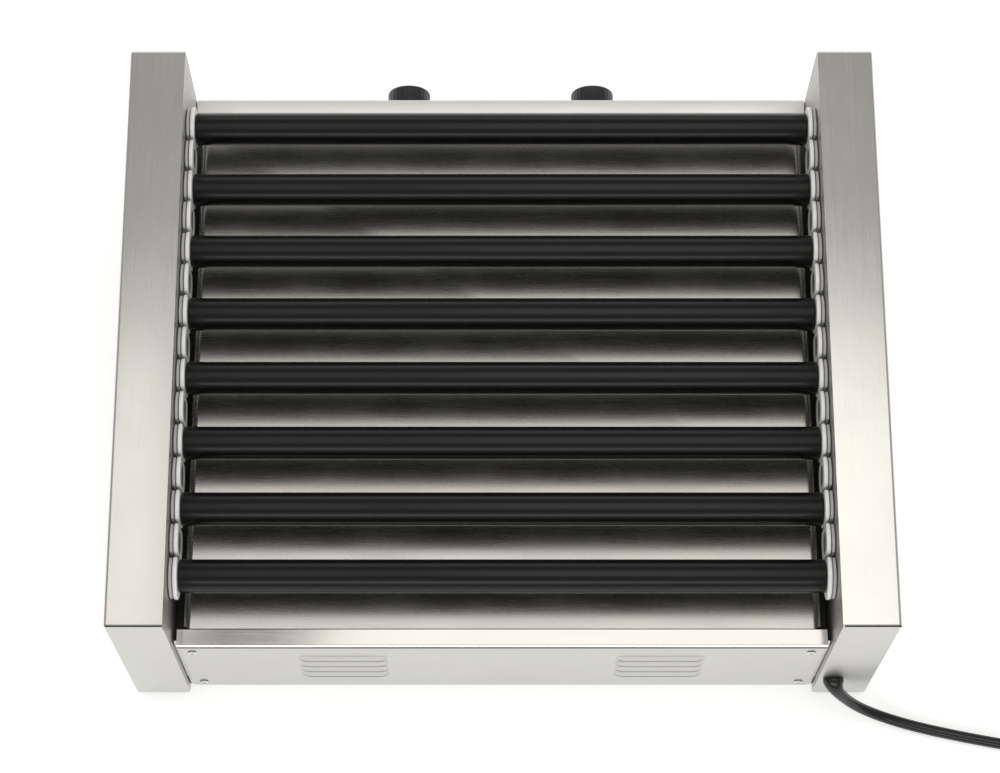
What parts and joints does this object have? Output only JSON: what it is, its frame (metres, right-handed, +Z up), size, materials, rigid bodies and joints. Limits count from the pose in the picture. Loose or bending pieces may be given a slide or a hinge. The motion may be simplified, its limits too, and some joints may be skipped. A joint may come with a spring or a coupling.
{
  "type": "hot dog roller grill",
  "caption": "Counter-top roller grill: black non-stick heated rollers between two folded steel side housings, with a slide-out drip tray, louvred back, front heat knobs and mains lead.",
  "frame": {"origin": "on the counter, under the middle of the grill's box without its mains lead", "axes": "+X along the rollers, to the right as seen from the back; +Y towards the front, where the knobs are; +Z up"},
  "size_m": [0.8263, 0.5411, 0.215],
  "materials": {
    "brushed_steel": "satin brushed stainless sheet",
    "bright_steel": "bright mill-finish stainless sheet",
    "nonstick_black": "semi-gloss black non-stick coating on a steel tube",
    "ptfe_white": "white PTFE, smooth",
    "foot_rubber": "black rubber",
    "cord_pvc": "black flexible PVC, satin",
    "black_plastic": "moulded black plastic",
    "screw_steel": "bright plated screw",
    "motor_metal": "zinc-plated motor casing",
    "heater_metal": "heat-tinted steel sheath",
    "chain_steel": "oiled dark steel",
    "terminal_plastic": "off-white moulded plastic"
  },
  "bodies": {
    "frame": {"base_plate": "brushed_steel", "bearing_bush_left_1": "ptfe_white", "bearing_bush_left_2": "ptfe_white", "bearing_bush_left_3": "ptfe_white", "bearing_bush_left_4": "ptfe_white", "bearing_bush_left_5": "ptfe_white", "bearing_bush_left_6": "ptfe_white", "bearing_bush_left_7": "ptfe_white", "bearing_bush_left_8": "ptfe_white", "bearing_bush_right_1": "ptfe_white", "bearing_bush_right_2": "ptfe_white", "bearing_bush_right_3": "ptfe_white", "bearing_bush_right_4": "ptfe_white", "bearing_bush_right_5": "ptfe_white", "bearing_bush_right_6": "ptfe_white", "bearing_bush_right_7": "ptfe_white", "bearing_bush_right_8": "ptfe_white", "blank_strip_left": "ptfe_white", "blank_strip_right": "ptfe_white", "cord": "cord_pvc", "cord_coil": "cord_pvc", "cord_gland": "cord_pvc", "cover_screw_left": "screw_steel", "cover_screw_right": "screw_steel", "drive_chain": "chain_steel", "foot_back_left": "foot_rubber", "foot_back_right": "foot_rubber", "foot_front_left": "foot_rubber", "foot_front_right": "foot_rubber", "front_panel": "brushed_steel", "gear_motor": "motor_metal", "heater_bank": "heater_metal", "inner_deck": "brushed_steel", "left_cover": "brushed_steel", "left_inner_wall": "bright_steel", "plug": "cord_pvc", "rear_panel": "brushed_steel", "rear_screw_left_lower": "screw_steel", "rear_screw_left_upper": "screw_steel", "rear_screw_right_lower": "screw_steel", "rear_screw_right_upper": "screw_steel", "right_cover": "brushed_steel", "right_inner_wall": "bright_steel", "switch_housing": "black_plastic", "terminal_block": "terminal_plastic", "thermostat_left": "terminal_plastic", "thermostat_right": "terminal_plastic"},
    "roller_1": {"roller_1": "nonstick_black"},
    "roller_2": {"roller_2": "nonstick_black"},
    "roller_3": {"roller_3": "nonstick_black"},
    "roller_4": {"roller_4": "nonstick_black"},
    "roller_5": {"roller_5": "nonstick_black"},
    "roller_6": {"roller_6": "nonstick_black"},
    "roller_7": {"roller_7": "nonstick_black"},
    "roller_8": {"roller_8": "nonstick_black"},
    "drive_sprocket": {"drive_sprocket": "chain_steel"},
    "knob_left": {"knob_left": "black_plastic"},
    "knob_right": {"knob_right": "black_plastic"},
    "switch_rocker": {"switch_rocker": "black_plastic"},
    "drip_tray": {"drip_tray": "bright_steel"}
  },
  "joints": [
    {"name": "roller_1_spin", "type": "hinge", "parent": "frame", "child": "roller_1", "pos_m": [0, -0.1942, 0.183], "axis": [1, 0, 0], "continuous": true},
    {"name": "roller_2_spin", "type": "hinge", "parent": "frame", "child": "roller_2", "pos_m": [0, -0.1424, 0.183], "axis": [1, 0, 0], "continuous": true},
    {"name": "roller_3_spin", "type": "hinge", "parent": "frame", "child": "roller_3", "pos_m": [0, -0.0906, 0.183], "axis": [1, 0, 0], "continuous": true},
    {"name": "roller_4_spin", "type": "hinge", "parent": "frame", "child": "roller_4", "pos_m": [0, -0.0388, 0.183], "axis": [1, 0, 0], "continuous": true},
    {"name": "roller_5_spin", "type": "hinge", "parent": "frame", "child": "roller_5", "pos_m": [0, 0.013, 0.183], "axis": [1, 0, 0], "continuous": true},
    {"name": "roller_6_spin", "type": "hinge", "parent": "frame", "child": "roller_6", "pos_m": [0, 0.0648, 0.183], "axis": [1, 0, 0], "continuous": true},
    {"name": "roller_7_spin", "type": "hinge", "parent": "frame", "child": "roller_7", "pos_m": [0, 0.1166, 0.183], "axis": [1, 0, 0], "continuous": true},
    {"name": "roller_8_spin", "type": "hinge", "parent": "frame", "child": "roller_8", "pos_m": [0, 0.1684, 0.183], "axis": [1, 0, 0], "continuous": true},
    {"name": "drive_sprocket_spin", "type": "hinge", "parent": "frame", "child": "drive_sprocket", "pos_m": [0.262, -0.012, 0.08], "axis": [1, 0, 0], "continuous": true},
    {"name": "knob_left_turn", "type": "hinge", "parent": "frame", "child": "knob_left", "pos_m": [-0.075, 0.2225, 0.096], "axis": [0, -1, 0], "range_deg": [0, 300]},
    {"name": "knob_right_turn", "type": "hinge", "parent": "frame", "child": "knob_right", "pos_m": [0.075, 0.2225, 0.096], "axis": [0, -1, 0], "range_deg": [0, 300]},
    {"name": "switch_rock", "type": "hinge", "parent": "frame", "child": "switch_rocker", "pos_m": [0, 0.2185, 0.096], "axis": [1, 0, 0], "range_deg": [0, 20]},
    {"name": "tray_slide", "type": "slide", "parent": "frame", "child": "drip_tray", "axis": [0, -1, 0], "range_m": [0, 0.36]}
  ],
  "couplings": [
    {"joint": "roller_2_spin", "follows": "roller_1_spin", "ratio": 1},
    {"joint": "roller_3_spin", "follows": "roller_1_spin", "ratio": 1},
    {"joint": "roller_4_spin", "follows": "roller_1_spin", "ratio": 1},
    {"joint": "roller_5_spin", "follows": "roller_1_spin", "ratio": 1},
    {"joint": "roller_6_spin", "follows": "roller_1_spin", "ratio": 1},
    {"joint": "roller_7_spin", "follows": "roller_1_spin", "ratio": 1},
    {"joint": "roller_8_spin", "follows": "roller_1_spin", "ratio": 1},
    {"joint": "drive_sprocket_spin", "follows": "roller_1_spin", "ratio": 0.66667}
  ]
}
